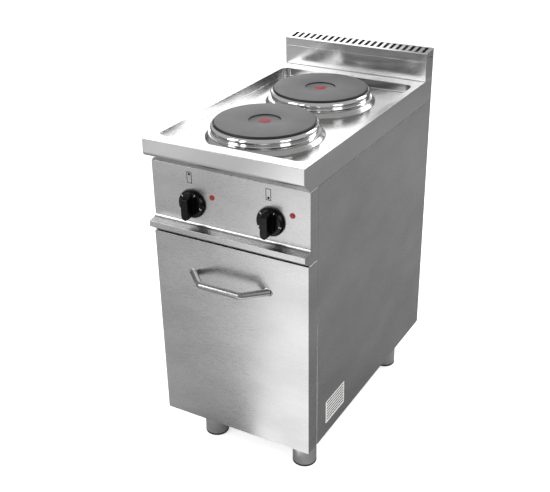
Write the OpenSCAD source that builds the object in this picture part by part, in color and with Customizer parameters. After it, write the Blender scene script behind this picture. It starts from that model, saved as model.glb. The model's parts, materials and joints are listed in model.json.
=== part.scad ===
// Free-standing electric range: two round cast-iron hot plates in a pressed worktop, on a
// closed cabinet with one door and four levelling feet. Millimetres, +Z up, front faces -Y.
// The origin is on the floor, under the middle of the whole outline, door handle included.

/* [Body] */
// Width over the side panels
body_w = 400; // [350:1:500]
// Depth from the worktop's front face to the back
body_d = 700; // [690:1:860]
// Height of the worktop above the floor
worktop_h = 850; // [700:1:1050]
// Thickness of the cabinet and panel sheet
sheet = 1.2; // [0.8:0.1:1.6]
// Open line between neighbouring sheet parts
seam = 0.8; // [0.3:0.1:1]
// How far the cabinet's side edges stand behind the worktop's front face
side_inset = 63; // [60:1:80]

/* [Worktop] */
// Thickness of the worktop sheet
top_sheet = 1.5; // [1:0.1:2]
// Height of the worktop's side and rear skirts
skirt_h = 60; // [54:1:80]
// Straight height of the worktop's front face
nose_h = 32; // [24:1:36]
// Radius under the worktop's front face
nose_r = 12; // [8:1:14]
// Slope of the return under the front face, from level
nose_slope = 39; // [30:1:45]
// Gap between that return and the control panel
nose_gap = 0.4; // [0.2:0.1:1]
// Depth of the pressed well
well_depth = 22; // [14:1:24]
// Border beside the well, left and right
well_side = 16; // [12:1:24]
// Border in front of the well
well_front = 33; // [28:1:44]
// Border between the well and the upstand
well_rear = 39; // [30:1:50]
// Radius of the well's corners
well_r = 22; // [12:1:30]

/* [Upstand] */
// Height of the upstand above the worktop
up_h = 70; // [50:1:120]
// Depth of the upstand
up_d = 48; // [40:1:70]
// Height of the cap's front lip
cap_lip = 20; // [12:1:26]
// Height of the cap's side lips at the front
cap_side = 8; // [6:1:10]
// How much lower the side lips reach at the back
cap_fall = 7; // [0:1:10]
// How much higher the cap stands at the back than at the front
cap_rise = 6; // [0:1:10]
// Open slit under the side lips
cap_slit = 1.5; // [0.4:0.1:3]
// Distance between vent slots
slot_pitch = 17.6; // [14:0.1:24]
// Width of a vent slot
slot_w = 9; // [5:0.5:11]
// Solid edge of the cap in front of the slots
slot_edge = 9.5; // [6:0.5:14]
// Solid edge of the cap behind the slots
slot_rear = 4; // [3:0.5:9]

/* [Hot plates] */
// Diameter of the cast-iron plate over its rim
plate_d = 231; // [180:1:240]
// Height of the plate's top over the worktop
plate_rise = 14; // [8:1:20]
// Thickness of the casting's cooking face
plate_t = 10; // [7:1:14]
// Width of the bevel round the cooking face
plate_bevel = 2; // [1:0.5:6]
// Distance between the two plate centres
plate_pitch = 272; // [268:1:300]
// Distance of the plates' midpoint behind the middle of the well
plate_shift = 3; // [-4:0.5:6]
// Diameter of the recess in the middle of the cooking face
recess_d = 73; // [50:1:90]
// Depth of that recess
recess_t = 3; // [1:0.5:4]
// Diameter of the red spot
spot_d = 29; // [20:1:40]
// Height of the casting's skirt under the cooking face
casting_skirt = 16; // [12:1:18]
// Sheet of the spill ring
ring_sheet = 0.8; // [0.6:0.1:1]
// How far the spill ring bulges past the plate's rim
ring_bulge = 7.5; // [5:0.5:9]
// How far the spill ring's foot stands past the plate's rim
ring_foot = 11; // [10:0.5:14]
// Height of the pressed boss that the ring stands on
boss_h = 10; // [5:0.5:12]
// Width of the boss's slope
boss_slope = 8; // [6:0.5:8]
// Diameter of the clamping stud
stud_d = 8; // [6:1:10]

/* [Control panel] */
// How far the panel's face stands behind the worktop's front face
panel_inset = 28; // [24:1:34]
// Distance from the worktop's top down to the ledge's underside
ledge_drop = 229; // [200:1:260]
// Height of the ledge's front lip over its underside
ledge_h = 28; // [24:1:34]
// Straight height of that lip
ledge_lip = 13.5; // [8:0.5:16]
// How far the ledge stands in front of the panel
ledge_reach = 25; // [18:1:26]
// Radius where the panel turns out into the ledge
ledge_r = 8; // [5:1:12]
// Distance of the knobs' axes from the middle of the pair
knob_x = 100; // [80:1:110]
// How far the pair of knobs stands to the right of the cabinet's middle
knob_shift = 5.5; // [0:0.5:8]
// Distance from the worktop's top down to the knobs' axes
knob_drop = 146; // [130:1:160]
// Diameter of the knob's skirt
knob_d = 67; // [54:1:76]
// Thickness of the knob's skirt
knob_t = 10; // [8:1:14]
// Height of the grip bar in front of the skirt
grip_t = 23; // [16:1:26]
// Width of the grip bar
grip_w = 18; // [14:1:24]
// Distance of the grip bar's lower end from the knob's axis
grip_low = 29; // [22:0.5:32]
// Distance of the grip bar's upper end from the knob's axis, at the skirt
grip_high = 30; // [24:0.5:32]
// How much shorter the grip bar's front is at its upper end
grip_slant = 9; // [0:1:14]
// Gap between the knob and the panel
knob_gap = 1.5; // [1:0.1:3]
// Diameter of the switch spindle
spindle_d = 6; // [5:0.5:8]
// Radial clearance of the spindle in the switch
spindle_fit = 0.05; // [0.02:0.01:0.1]
// Distance of the pilot lamp beside the knob's axis
lamp_x = 52; // [48:1:70]
// Height of the pilot lamp over the knob's axis
lamp_z = 24; // [0:1:34]
// Diameter of the pilot lamp's lens
lamp_d = 13; // [10:0.5:16]

/* [Door] */
// How far the door's face stands behind the worktop's front face
door_inset = 20; // [14:1:26]
// Thickness of the door
door_t = 42; // [36:1:43]
// Gap over the door
door_top_gap = 2; // [1:0.5:4]
// Side and bottom gap of the door
door_gap = 0.5; // [0.3:0.1:1]
// Diameter of the hinge pins
pin_d = 6; // [4:0.5:6]
// Radial clearance of the hinge pins in their bushes
pin_fit = 0.05; // [0.02:0.01:0.1]
// Distance of the hinge axis from the door's side edge
pin_edge = 5.5; // [4:0.5:5.5]
// Distance of the hinge axis in front of the door's back
pin_back = 24; // [20:1:28]
// Length of the hinge bushes
bush_l = 12; // [8:1:18]
// Distance of the handle's axis under the door's top edge
handle_drop = 86.5; // [60:0.5:130]
// Distance between the handle's ends
handle_w = 195; // [160:1:240]
// Straight length of the grip, between its bends
grip_len = 106; // [80:1:130]
// Distance of the grip's axis in front of the door
handle_reach = 43.5; // [36:1:55]
// Diameter of the handle's bar
bar_d = 16; // [10:1:18]
// Diameter of the handle's welded studs
handle_stud_d = 6; // [5:1:8]

/* [Legs] */
// Height of the cabinet's underside above the floor
leg_h = 120; // [100:1:150]
// Diameter of the leg tubes
leg_d = 60; // [50:1:72]
// Wall of the leg tubes
leg_wall = 1.5; // [1:0.1:2]
// Distance of the leg axes inside the sides
leg_side = 69.5; // [60:1:80]
// Distance of the front legs' axes behind the worktop's front face
leg_front = 130; // [110:1:150]
// Distance of the rear legs' axes in front of the back
leg_rear = 70; // [60:1:100]
// Thickness of the levelling feet's discs
foot_t = 5; // [3:0.5:8]
// Diameter of the levelling feet's stems
stem_d = 12; // [10:1:14]
// Radial clearance of the stems in their plugs
stem_fit = 0.05; // [0.02:0.01:0.1]
// Length of the stems
stem_l = 55; // [50:1:70]

/* [Services] */
// Diameter of the cable passage through the gland
gland_bore = 13; // [9:1:16]
// Diameter of the gland's thread
gland_d = 25; // [20:1:32]
// Height of the gland over the compartment floor
gland_z = 34; // [30:1:60]
// Distance of the gland from the middle
gland_x = 110; // [60:1:140]
// Width of the rating plate
label_w = 100; // [60:1:120]
// Height of the rating plate
label_h = 62; // [40:1:80]

/* [Hidden] */
$fn = 96;

steel = "silver";
satin = "gainsboro";
iron = "dimgray";
plastic = "#222222";

hair = 0.2;             // gap between parts that only lie beside each other
strap_h = 10;           // how far the upstand's inner strap reaches below the cap's lip
air_gap = 14;           // open depth behind the upstand's drip shield
cap_end = 7;            // solid ends of the cap beside the slots
cut = 1;                // how far a cut runs past the face that it opens
half_w = body_w / 2;
half_in = half_w - sheet;
bar_r = bar_d / 2;

// Depth lines, from front to back
handle_over = handle_reach + bar_r - door_inset;
y_face = -(body_d - handle_over) / 2;
y_back = y_face + body_d;
y_door = y_face + door_inset;
y_door_back = y_door + door_t;
y_panel = y_face + panel_inset;
y_side = y_face + side_inset;
y_up = y_back - up_d;
y_rear_wall = y_back - 16;
y_frame = y_side + 1.5;

// Height lines
z_skirt = worktop_h - skirt_h;
z_well = worktop_h - well_depth;
z_under = worktop_h - ledge_drop;
z_plate = worktop_h + plate_rise;
z_knob = worktop_h - knob_drop;
z_boss = z_well + boss_h;
z_heat = z_under + sheet + hair;
z_door = leg_h + door_gap;
z_door_top = z_under - door_top_gap;
z_bar = z_door_top - handle_drop;

// Knob axes, left and right
knob_xs = [knob_shift - knob_x, knob_shift + knob_x];

// Well and hot plates
well_y0 = y_face + well_front;
well_y1 = y_up - well_rear;
plates_mid = (well_y0 + well_y1) / 2 + plate_shift;
y_front_plate = plates_mid - plate_pitch / 2;
y_rear_plate = plates_mid + plate_pitch / 2;
plate_r = plate_d / 2;
boss_r = plate_r + ring_foot + 0.5 + boss_slope;
mouth_r = plate_r - 4;              // hole in the worktop under each plate
casting_r = mouth_r - 4;            // outside of the casting's skirt
casting_wall = 6;
z_casting = z_plate - plate_t;      // underside of the cooking face
z_pan = z_casting - casting_skirt;
hub_r = 14;
bridge_w = 30;
bridge_t = 3;
bridge_l = 2 * boss_r + 30;
z_bridge = z_well - top_sheet - bridge_t;
nut_h = 6.5;

// Legs: side (-1 left, 1 right) and depth of each axis
leg_x = half_w - leg_side;
y_leg_front = y_face + leg_front;
y_leg_rear = y_back - leg_rear;
pad = 2;
foot_gap = 0.3;

// Door hinge axis, at the left edge
hinge_x = -(half_w - door_gap - pin_edge);
hinge_y = y_door_back - pin_back;
bush_r = pin_edge - sheet - 0.05;   // fills the room beside the door's side sheet
door_x = half_w - door_gap;         // side edge of the door
hinge_plate = 3;
hinge_inner = -half_w + 22;         // inner edge of the hinge plates
catch_x = half_w - 58;              // middle of the magnetic catch

// Services behind the panel
switch_w = 46;
switch_d = 34;
z_shelf = z_heat + sheet;           // top of the compartment floor

// An outline in Y and Z, drawn out along X
module along_x(w) rotate([90, 0, 90]) linear_extrude(w, center = true) children();

// A box from its low corner to its high corner
module span(a, b) translate(a) cube(b - a);

// A round bar along Y, from its front end
module rod_y(x, y0, z, d, l) translate([x, y0, z]) rotate([-90, 0, 0]) cylinder(d = d, h = l);

// A round tube along Z with an open middle
module tube_z(x, y, z, r_out, r_in, h)
    translate([x, y, z]) difference() {
        cylinder(r = r_out, h = h);
        translate([0, 0, -cut]) cylinder(r = r_in, h = h + 2 * cut);
    }

// A rounded rectangle from its low corner to its high corner, with exact arcs
module round_rect(a, b, r) {
    translate([a.x + r, a.y]) square([b.x - a.x - 2 * r, b.y - a.y]);
    translate([a.x, a.y + r]) square([b.x - a.x, b.y - a.y - 2 * r]);
    for (x = [a.x + r, b.x - r], y = [a.y + r, b.y - r]) translate([x, y]) circle(r);
}

// ---- Worktop -------------------------------------------------------------------------

// The front face, its rounded lower edge and the sloping return, set in by t
function nose_line(t) = concat(
    [[y_face + t, worktop_h - t]],
    [for (a = [180 : (90 - nose_slope) / 6 : 270 - nose_slope])
        [y_face + nose_r + (nose_r - t) * cos(a), worktop_h - nose_h + (nose_r - t) * sin(a)]]
);

// Where the sloping return reaches the given height
function nose_end(t, z) = let (p = nose_line(t)[len(nose_line(t)) - 1])
    [p.x + (p.y - z) / tan(nose_slope), z];

module worktop_section() polygon(concat(
    nose_line(0),
    [[y_panel - nose_gap, nose_foot()], [y_panel - nose_gap, z_skirt],
     [y_back, z_skirt], [y_back, worktop_h]]
));

// Height at which the return stops, just in front of the control panel
function nose_foot() = let (p = nose_line(0)[len(nose_line(0)) - 1])
    max(z_skirt, p.y - (y_panel - nose_gap - p.x) * tan(nose_slope));

module worktop_hollow() polygon(concat(
    nose_line(top_sheet),
    [nose_end(top_sheet, z_skirt - cut), [y_back - top_sheet, z_skirt - cut],
     [y_back - top_sheet, worktop_h - top_sheet]]
));

// The pressed well, or its outside when grown by the sheet
module well(grow, z0, z1)
    translate([0, 0, z0]) linear_extrude(z1 - z0)
        round_rect([-(half_w - well_side) - grow, well_y0 - grow],
                   [half_w - well_side + grow, well_y1 + grow], well_r + grow);

module boss(y, r_extra, h_extra)
    translate([0, y, z_well - top_sheet]) rotate_extrude() polygon([
        [0, 0], [boss_r + r_extra, 0], [boss_r + r_extra, top_sheet + h_extra],
        [boss_r - boss_slope + r_extra, boss_h + top_sheet + h_extra],
        [0, boss_h + top_sheet + h_extra]
    ]);

module worktop() color(satin) difference() {
    union() {
        difference() {
            along_x(body_w) worktop_section();
            along_x(body_w - 2 * top_sheet) worktop_hollow();
        }
        difference() {
            well(top_sheet, z_well - top_sheet, worktop_h - top_sheet / 2);
            well(0, z_well, worktop_h);
        }
        for (y = [y_front_plate, y_rear_plate]) boss(y, 0, 0);
    }
    well_mouth();
    for (y = [y_front_plate, y_rear_plate]) {
        translate([0, 0, -top_sheet]) boss(y, -top_sheet / 2, 0);
        translate([0, y, z_well - top_sheet - cut])
            cylinder(r = mouth_r, h = boss_h + 2 * cut + top_sheet);
    }
    // Way up into the upstand for warm air
    x_way = half_w - 20;
    span([-x_way, y_up + 8, worktop_h - top_sheet - cut], [x_way, y_back - 8, worktop_h + cut]);
}

// Opens the top face over the well
module well_mouth() difference() {
    well(0, z_well, worktop_h + cut);
    for (y = [y_front_plate, y_rear_plate]) boss(y, 0, 0);
}

// ---- Upstand -------------------------------------------------------------------------

// Lower edge of the cap's side lips, or the edge that stands below them by the gap
function cap_edge(gap) = let (z = worktop_h + up_h - cap_side - gap)
    [[y_up + sheet, z], [y_back - sheet, z - cap_fall]];

// Underside of the cap's sloping top at the given depth
function cap_under(y) = worktop_h + up_h - sheet + cap_rise * (y - y_up) / up_d;

module upstand_shell() color(satin) {
    z_front = worktop_h + up_h - cap_lip - seam;
    y_strap = y_up + 2 * sheet;
    span([-half_w, y_up, worktop_h + seam], [half_w, y_up + sheet, z_front]);
    span([-half_w, y_back - sheet, worktop_h], [half_w, y_back, cap_under(y_back - sheet)]);
    for (side = [-1, 1]) translate([side * (half_w - sheet / 2), 0, 0]) along_x(sheet)
        polygon(concat(
            [[y_up + sheet, worktop_h]], cap_edge(cap_slit), [[y_back - sheet, worktop_h]]
        ));
    // Inner strap that the cap's front lip is spot-welded to, and the drip shield under the slots
    span([-half_in, y_up + sheet, z_front - strap_h], [half_in, y_strap, cap_under(y_up + sheet)]);
    span([-half_in, y_strap, z_front - strap_h], [half_in, y_back - air_gap, z_front - strap_h + sheet]);
}

module cap_slots() {
    count = floor((body_w - 2 * cap_end - slot_w) / slot_pitch) + 1;
    y0 = y_up + slot_edge;
    for (i = [0 : count - 1]) {
        x = (i - (count - 1) / 2) * slot_pitch;
        span([x - slot_w / 2, y0, worktop_h + up_h - sheet - cut],
             [x + slot_w / 2, y_back - slot_rear, worktop_h + up_h + cap_rise + cut]);
    }
}

module upstand_cap() color(satin) {
    z1 = worktop_h + up_h;
    y_lip = y_up + sheet;
    difference() {
        along_x(body_w) polygon([
            [y_up, z1 - cap_lip], [y_lip, z1 - cap_lip], [y_lip, cap_under(y_lip)],
            [y_back, cap_under(y_back)], [y_back, cap_under(y_back) + sheet], [y_up, z1]
        ]);
        cap_slots();
    }
    for (side = [-1, 1]) translate([side * (half_w - sheet / 2), 0, 0]) along_x(sheet)
        polygon(concat(cap_edge(0), [
            [y_back - sheet, cap_under(y_back - sheet)], [y_lip, cap_under(y_lip)],
            [y_up, cap_under(y_up)], [y_up, z1 - cap_side]
        ]));
}

// ---- Cabinet shell -------------------------------------------------------------------

// The panel's face, the concave turn, the sloping ledge and its underside, set in by t
function panel_line(t) = let (
    tilt = 10,
    y_lip = y_panel - ledge_reach,
    z_lip = z_under + ledge_h,
    end_y = y_panel - ledge_r + (ledge_r + t) * cos(90 - tilt),
    z_c = z_lip + (end_y - y_lip) * tan(tilt) + (ledge_r + t) * cos(tilt) - t
) concat(
    [[y_panel + t, z_skirt - seam - t]],
    [for (a = [0 : (90 - tilt) / 5 : 90 - tilt])
        [y_panel - ledge_r + (ledge_r + t) * cos(a), z_c - (ledge_r + t) * sin(a)]],
    [[y_lip + t, z_lip - t], [y_lip + t, z_lip - ledge_lip],
     [y_panel - 5.5 + t / 2, z_under + t]]
);

module control_panel() color(satin) {
    y_end = y_side - seam;
    difference() {
        along_x(body_w) polygon(concat(panel_line(0), [[y_end, z_under], [y_end, z_skirt - seam]]));
        along_x(body_w - 2 * sheet) polygon(concat(panel_line(sheet), [
            [y_end + cut, z_under + sheet], [y_end + cut, z_skirt - seam - sheet]
        ]));
        for (x = knob_xs) {
            rod_y(x, y_panel - cut, z_knob, spindle_d + 5, sheet + 2 * cut);
            rod_y(x + lamp_x, y_panel - cut, z_knob + lamp_z, lamp_d - 1.6, sheet + 2 * cut);
        }
        translate([hinge_x, hinge_y, z_under - cut]) cylinder(d = pin_d + 2, h = sheet + 2 * cut);
    }
}

module side_panel(side) color(steel) mirror([side > 0 ? 1 : 0, 0, 0]) {
    fold = 12;
    z1 = z_skirt - seam;
    span([-half_w, y_side, leg_h], [-half_in, y_back, z1]);
    span([-half_in, y_side, leg_h], [-half_in + fold, y_side + sheet, z_under - 2 * cut]);
    span([-half_in, y_back - sheet, leg_h], [-half_in + fold, y_back, z1]);
}

module back_panel() color(steel) difference() {
    x1 = half_w - max(sheet, top_sheet) - hair;
    span([-x1, y_rear_wall, leg_h + sheet + hair], [x1, y_rear_wall + sheet, z_skirt + 20]);
    rod_y(-gland_x, y_rear_wall - cut, z_heat + sheet + gland_z, gland_d + hair, sheet + 2 * cut);
    rod_y(gland_x, y_rear_wall - cut, leg_h + 40, 6.2, sheet + 2 * cut);
    // Air slots behind the switchgear
    for (i = [-4 : 4], row = [0, 1]) translate([i * 22, y_rear_wall, z_heat + 80 + row * 40])
        span([-3, -cut, 0], [3, sheet + cut, 28]);
    for (p = back_screws()) rod_y(p.x, y_rear_wall - cut, p.y, 4.2, sheet + 2 * cut);
}

// Places of the back panel's screws, in X and Z
function back_screws() = [
    for (x = [-1, 1], z = [leg_h + 60, z_under - 120, z_skirt - 40]) [x * (half_in - 8), z]
];

module back_panel_screws() color("gray") for (p = back_screws()) {
    rod_y(p.x, y_rear_wall + sheet, p.y, 8, 2.4);
    rod_y(p.x, y_rear_wall - 8, p.y, 4, 8 + sheet);
}

module base_tray() color(steel) {
    x1 = half_in - hair;
    wall = 22;
    span([-x1, y_frame, leg_h], [x1, y_rear_wall + sheet, leg_h + sheet]);
    for (x = [-x1, x1 - sheet])
        span([x, y_frame, leg_h + sheet], [x + sheet, y_rear_wall - hair, leg_h + wall]);
}

module compartment_floor() color(steel)
    span([-half_in + hair, y_frame, z_heat], [half_in - hair, y_rear_wall - hair, z_heat + sheet]);

// Channel across the front, over the cabinet's mouth
module front_rail() color(steel) {
    rail_d = 30;
    rail_h = 24;
    z1 = z_heat - hair;
    x1 = half_in - 14;
    difference() {
        span([-x1, y_frame, z1 - rail_h], [x1, y_frame + rail_d, z1]);
        span([-x1 - cut, y_frame + sheet, z1 - rail_h - cut],
             [x1 + cut, y_frame + rail_d - sheet, z1 - sheet]);
    }
}

// Channel under the well, between the two plates
module worktop_rail() color(steel) {
    x1 = half_w - well_side - 6;
    half_d = 12;
    rail_h = 18;
    z1 = z_well - top_sheet;
    translate([0, plates_mid, z1]) difference() {
        span([-x1, -half_d, -rail_h], [x1, half_d, 0]);
        span([-x1 - cut, sheet - half_d, -rail_h - cut], [x1 + cut, half_d - sheet, -sheet]);
    }
}

// ---- Hot plates ----------------------------------------------------------------------

module at_plates() for (y = [y_front_plate, y_rear_plate]) translate([0, y, 0]) children();

module hot_plate(y) color(iron) translate([0, y, 0]) difference() {
    rotate_extrude() polygon([
        [0, z_pan + 2], [hub_r, z_pan + 2], [hub_r, z_casting], [casting_r - casting_wall, z_casting],
        [casting_r - casting_wall, z_pan], [casting_r, z_pan], [casting_r, z_plate - 7],
        [plate_r, z_plate - 7], [plate_r, z_plate - 3], [plate_r - plate_bevel, z_plate],
        [recess_d / 2, z_plate], [recess_d / 2 - 1, z_plate - recess_t], [0, z_plate - recess_t]
    ]);
    translate([0, 0, z_pan + 2 - cut]) cylinder(d = stud_d, h = 12 + cut);
}

module red_spots() color("firebrick") at_plates()
    translate([0, 0, z_plate - recess_t]) cylinder(d = spot_d, h = 0.3);

// Spill ring: seat under the rim, rolled top, bulge, crease and sloping foot, set in by t
function ring_line(t) = let (
    arc_r = 9,
    arc_c = [plate_r + ring_bulge - arc_r, z_plate - 13],
    foot_z = z_boss + 1 + ring_sheet
) concat(
    [[casting_r + 1, z_plate - 7 - t], [plate_r + 0.4 + t * 0.6, z_plate - 7 - t]],
    [for (a = [72 : -18 : -54]) arc_c + (arc_r - t) * [cos(a), sin(a)]],
    [[plate_r + 3.8 - t * 0.5, foot_z + 3 - t], [plate_r + ring_foot, foot_z - t]]
);

// The same line from its other end, for the inside of the sheet
function reversed(line) = [for (i = [len(line) - 1 : -1 : 0]) line[i]];

module spill_ring(y) color("whitesmoke") translate([0, y, 0])
    rotate_extrude() polygon(concat(ring_line(0), reversed(ring_line(ring_sheet))));

module ring_gaskets() color("ivory") at_plates()
    tube_z(0, 0, z_boss, plate_r + ring_foot - 1, mouth_r + 1, 1);

module heating_coil(y) color("darkgoldenrod") translate([0, y, z_casting - 4.5])
    for (i = [0 : 2]) rotate_extrude()
        translate([hub_r + (casting_r - casting_wall - hub_r) * (i + 0.5) / 3, 0]) circle(d = 6, $fn = 24);

module insulation_discs() color("wheat") at_plates()
    tube_z(0, 0, z_pan + hair, casting_r - casting_wall - 1, hub_r + 1, casting_skirt - 9);

module plate_pans() color(steel) at_plates()
    tube_z(0, 0, z_pan - sheet, casting_r, stud_d / 2 + 1, sheet);

module clamp_bridges() color(steel) at_plates() difference() {
    span([-bridge_l / 2, -bridge_w / 2, z_bridge], [bridge_l / 2, bridge_w / 2, z_bridge + bridge_t]);
    translate([0, 0, z_bridge - cut]) cylinder(d = stud_d + 1, h = bridge_t + 2 * cut);
}

module clamp_studs() color("goldenrod") at_plates()
    translate([0, 0, z_bridge - nut_h - 4]) cylinder(d = stud_d, h = z_pan + 14 - (z_bridge - nut_h - 4));

// Hexagon nut along Z, with its foot at z
module nut_z(x, y, z, d, h) translate([x, y, z]) difference() {
    cylinder(d = d * 1.9, h = h, $fn = 6);
    translate([0, 0, -cut]) cylinder(d = d, h = h + 2 * cut, $fn = 96);
}

module clamp_nuts() color("goldenrod") at_plates() nut_z(0, 0, z_bridge - nut_h, stud_d, nut_h);

// Ceramic connector under each plate, on the pan
module plate_terminals() color("ivory") at_plates() translate([28, 22, z_pan - sheet - 20])
    difference() {
        cube([40, 40, 20]);
        for (y = [8, 20, 32]) translate([8, y, -cut]) cylinder(d = 4, h = 8 + cut, $fn = 24);
    }

// ---- Controls ------------------------------------------------------------------------

module switch_block(x) color("ivory") difference() {
    union() {
        span([x - switch_w / 2, y_panel + sheet + 2, z_knob - switch_w / 2],
             [x + switch_w / 2, y_panel + sheet + 2 + switch_d, z_knob + switch_w / 2]);
        // Mounting plate against the panel's back
        x1 = switch_w / 2 + 8;
        span([x - x1, y_panel + sheet, z_knob - 12], [x + x1, y_panel + sheet + 2, z_knob + 12]);
    }
    rod_y(x, y_panel + sheet - cut, z_knob, spindle_d + 2 * spindle_fit, 24 + cut);
}

module spindle(x) color("gray") {
    y0 = y_panel - knob_gap - knob_t + 4;
    rod_y(x, y0, z_knob, spindle_d, y_panel + sheet + 23.6 - y0);
}

module knob(x) color(plastic) translate([x, y_panel - knob_gap, z_knob]) rotate([90, 0, 0]) difference() {
    union() {
        // Skirt with a soft front edge
        rotate_extrude() polygon([
            [0, 0], [knob_d / 2, 0], [knob_d / 2, 3], [knob_d / 2 - 2.5, knob_t - 2],
            [knob_d / 2 - 4.5, knob_t], [0, knob_t]
        ]);
        grip_bar();
    }
    translate([0, 0, -cut]) cylinder(d = spindle_d, h = knob_t - 4 + cut);
}

// Grip across the knob: a bar with round ends, its front shorter at the upper end
module grip_bar() {
    r = grip_w / 2;
    z0 = knob_t - 2;
    z1 = knob_t + grip_t;
    intersection() {
        translate([0, 0, z0]) linear_extrude(z1 - z0) {
            translate([-r, r - grip_low]) square([grip_w, grip_low + grip_high - 2 * r]);
            translate([0, r - grip_low]) circle(r);
            translate([0, grip_high - r]) circle(r);
        }
        along_x(grip_w + cut) polygon([
            [-grip_low - cut, z0 - cut], [grip_high + cut, z0 - cut], [grip_high + cut, knob_t],
            [grip_high, knob_t], [grip_high - grip_slant, z1], [-grip_low - cut, z1]
        ]);
    }
}

module pilot_lenses() color("red") for (x = knob_xs)
    translate([x + lamp_x, y_panel, z_knob + lamp_z]) rotate([90, 0, 0]) rotate_extrude()
        polygon(concat([[0, 0], [lamp_d / 2, 0], [lamp_d / 2, 1]],
            [for (a = [0 : 15 : 90]) [(lamp_d / 2 - 1) * cos(a), 1 + 1.5 * sin(a)]]));

module pilot_bodies() color(plastic) for (x = knob_xs)
    rod_y(x + lamp_x, y_panel, z_knob + lamp_z, lamp_d - 2, 30);

// ---- Services ------------------------------------------------------------------------

module mains_terminal() color("ivory") difference() {
    span([-gland_x - 32, y_rear_wall - 84, z_shelf],
         [-gland_x + 32, y_rear_wall - 50, z_shelf + 26]);
    for (i = [-2 : 2]) translate([-gland_x + i * 12, y_rear_wall - 67, z_shelf + 12])
        cylinder(d = 6, h = 14 + cut, $fn = 24);
}

module cable_gland() color(plastic) {
    z = z_shelf + gland_z;
    y_out = y_rear_wall + sheet;
    translate([-gland_x, 0, z]) rotate([-90, 0, 0]) difference() {
        union() {
            translate([0, 0, y_rear_wall - 14]) cylinder(d = gland_d, h = 14 + sheet);
            translate([0, 0, y_rear_wall - 6]) cylinder(d = gland_d + 10, h = 6, $fn = 6);
            translate([0, 0, y_out]) cylinder(d = gland_d + 8, h = 5, $fn = 6);
            translate([0, 0, y_out + 5]) cylinder(d = gland_d + 3, h = 8);
        }
        translate([0, 0, y_rear_wall - 14 - cut]) cylinder(d = gland_bore, h = 27 + sheet + 2 * cut);
    }
}

module bonding_stud() color("goldenrod") {
    z = leg_h + 40;
    rod_y(gland_x, y_rear_wall - 6, z, 6, 6 + sheet + 13);
    translate([gland_x, y_rear_wall + sheet, z]) rotate([-90, 0, 0]) cylinder(d = 11.5, h = 5, $fn = 6);
}

// A wire bundle between two points, with a tie round each end
module wire(a, b, d) {
    v = b - a;
    translate(a) rotate([0, acos(v.z / norm(v)), atan2(v.y, v.x)]) cylinder(d = d, h = norm(v), $fn = 24);
    for (p = [a, b]) translate(p) sphere(d = d + 1, $fn = 24);
}

module route(points, d) for (i = [0 : len(points) - 2]) wire(points[i], points[i + 1], d);

module wiring_loom() color("orangered") {
    d = 8;
    z_run = z_shelf + 12;
    y_block = y_rear_wall - 84 - d;
    y_switch = y_panel + sheet + 2 + switch_d + d;
    x_main = -gland_x;
    y_run = y_switch + 30;
    z_high = z_pan - sheet - 20 - d;
    y_plates = [y_rear_plate + 42, y_front_plate + 42];
    route([[x_main, y_block, z_run], [x_main, y_run, z_run], [knob_xs[1], y_run, z_run]], d);
    for (i = [0, 1]) {
        x = knob_xs[i];
        route([[x, y_run, z_run], [x, y_run, z_knob], [x, y_switch, z_knob]], d);
        route([[x, y_run, z_knob], [x, y_plates[i], z_high - 20], [48, y_plates[i], z_high]], d);
    }
}

module rating_plate() color("white") translate([half_w, y_face + 107, leg_h + 32])
    cube([0.5, label_w, label_h]);

// ---- Door ----------------------------------------------------------------------------

module door_skin() color(satin) difference() {
    span([-door_x, y_door, z_door], [door_x, y_door_back, z_door_top]);
    span([-door_x + sheet, y_door + sheet, z_door + sheet],
         [door_x - sheet, y_door_back + cut, z_door_top - sheet]);
    for (z = [z_door - cut, z_door_top - sheet - cut])
        translate([hinge_x, hinge_y, z]) cylinder(r = bush_r, h = sheet + 2 * cut);
    for (x = stud_xs()) rod_y(x, y_door - cut, z_bar, handle_stud_d + 0.6, sheet + 2 * cut);
}

module door_liner() color(steel)
    span([-door_x + sheet + hair, y_door_back - 2 * sheet, z_door + sheet + hair],
         [door_x - sheet - hair, y_door_back - sheet, z_door_top - sheet - hair]);

// Channel behind the skin that the handle is bolted through
module door_stiffener() color(steel) {
    x1 = handle_w / 2 + 35;
    y0 = y_door + sheet;
    t = 1.5;
    difference() {
        span([-x1, y0, z_bar - 20], [x1, y0 + 20, z_bar + 20]);
        span([-x1 - cut, y0 + t, z_bar - 20 + t], [x1 + cut, y0 + 20 + cut, z_bar + 20 - t]);
        for (x = stud_xs()) rod_y(x, y0 - cut, z_bar, handle_stud_d + 0.6, t + 2 * cut);
    }
}

function stud_xs() = [-(handle_w / 2 - 3), handle_w / 2 - 3];

// Right bend of the bar and the leg that runs on past the door's face
module handle_leg() {
    bend_r = 16;
    turn = atan2(handle_reach, (handle_w - grip_len) / 2);
    trim = bend_r * tan(turn / 2);
    leg_l = norm([(handle_w - grip_len) / 2, handle_reach]) - trim + 2 * bar_r;
    translate([grip_len / 2 - trim, bend_r - handle_reach, 0]) {
        rotate([0, 0, -90]) rotate_extrude(angle = turn) translate([bend_r, 0]) circle(bar_r);
        rotate([0, 0, turn]) translate([0, -bend_r, 0]) rotate([0, 90, 0]) cylinder(r = bar_r, h = leg_l);
    }
    translate([0, -handle_reach, 0]) rotate([0, 90, 0]) cylinder(r = bar_r, h = grip_len / 2 - trim);
}

module door_handle() color("lightgray") {
    difference() {
        translate([0, y_door, z_bar]) {
            handle_leg();
            mirror([1, 0, 0]) handle_leg();
        }
        span([-half_w, y_door, z_bar - bar_d], [half_w, y_door + 4 * bar_d, z_bar + bar_d]);
    }
    for (x = stud_xs()) rod_y(x, y_door - 3, z_bar, handle_stud_d, 14);
}

module handle_nuts() color("gray") for (x = stud_xs())
    translate([x, y_door + sheet + 1.5, z_bar]) rotate([-90, 0, 0]) nut_z(0, 0, 0, handle_stud_d, 5);

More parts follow.
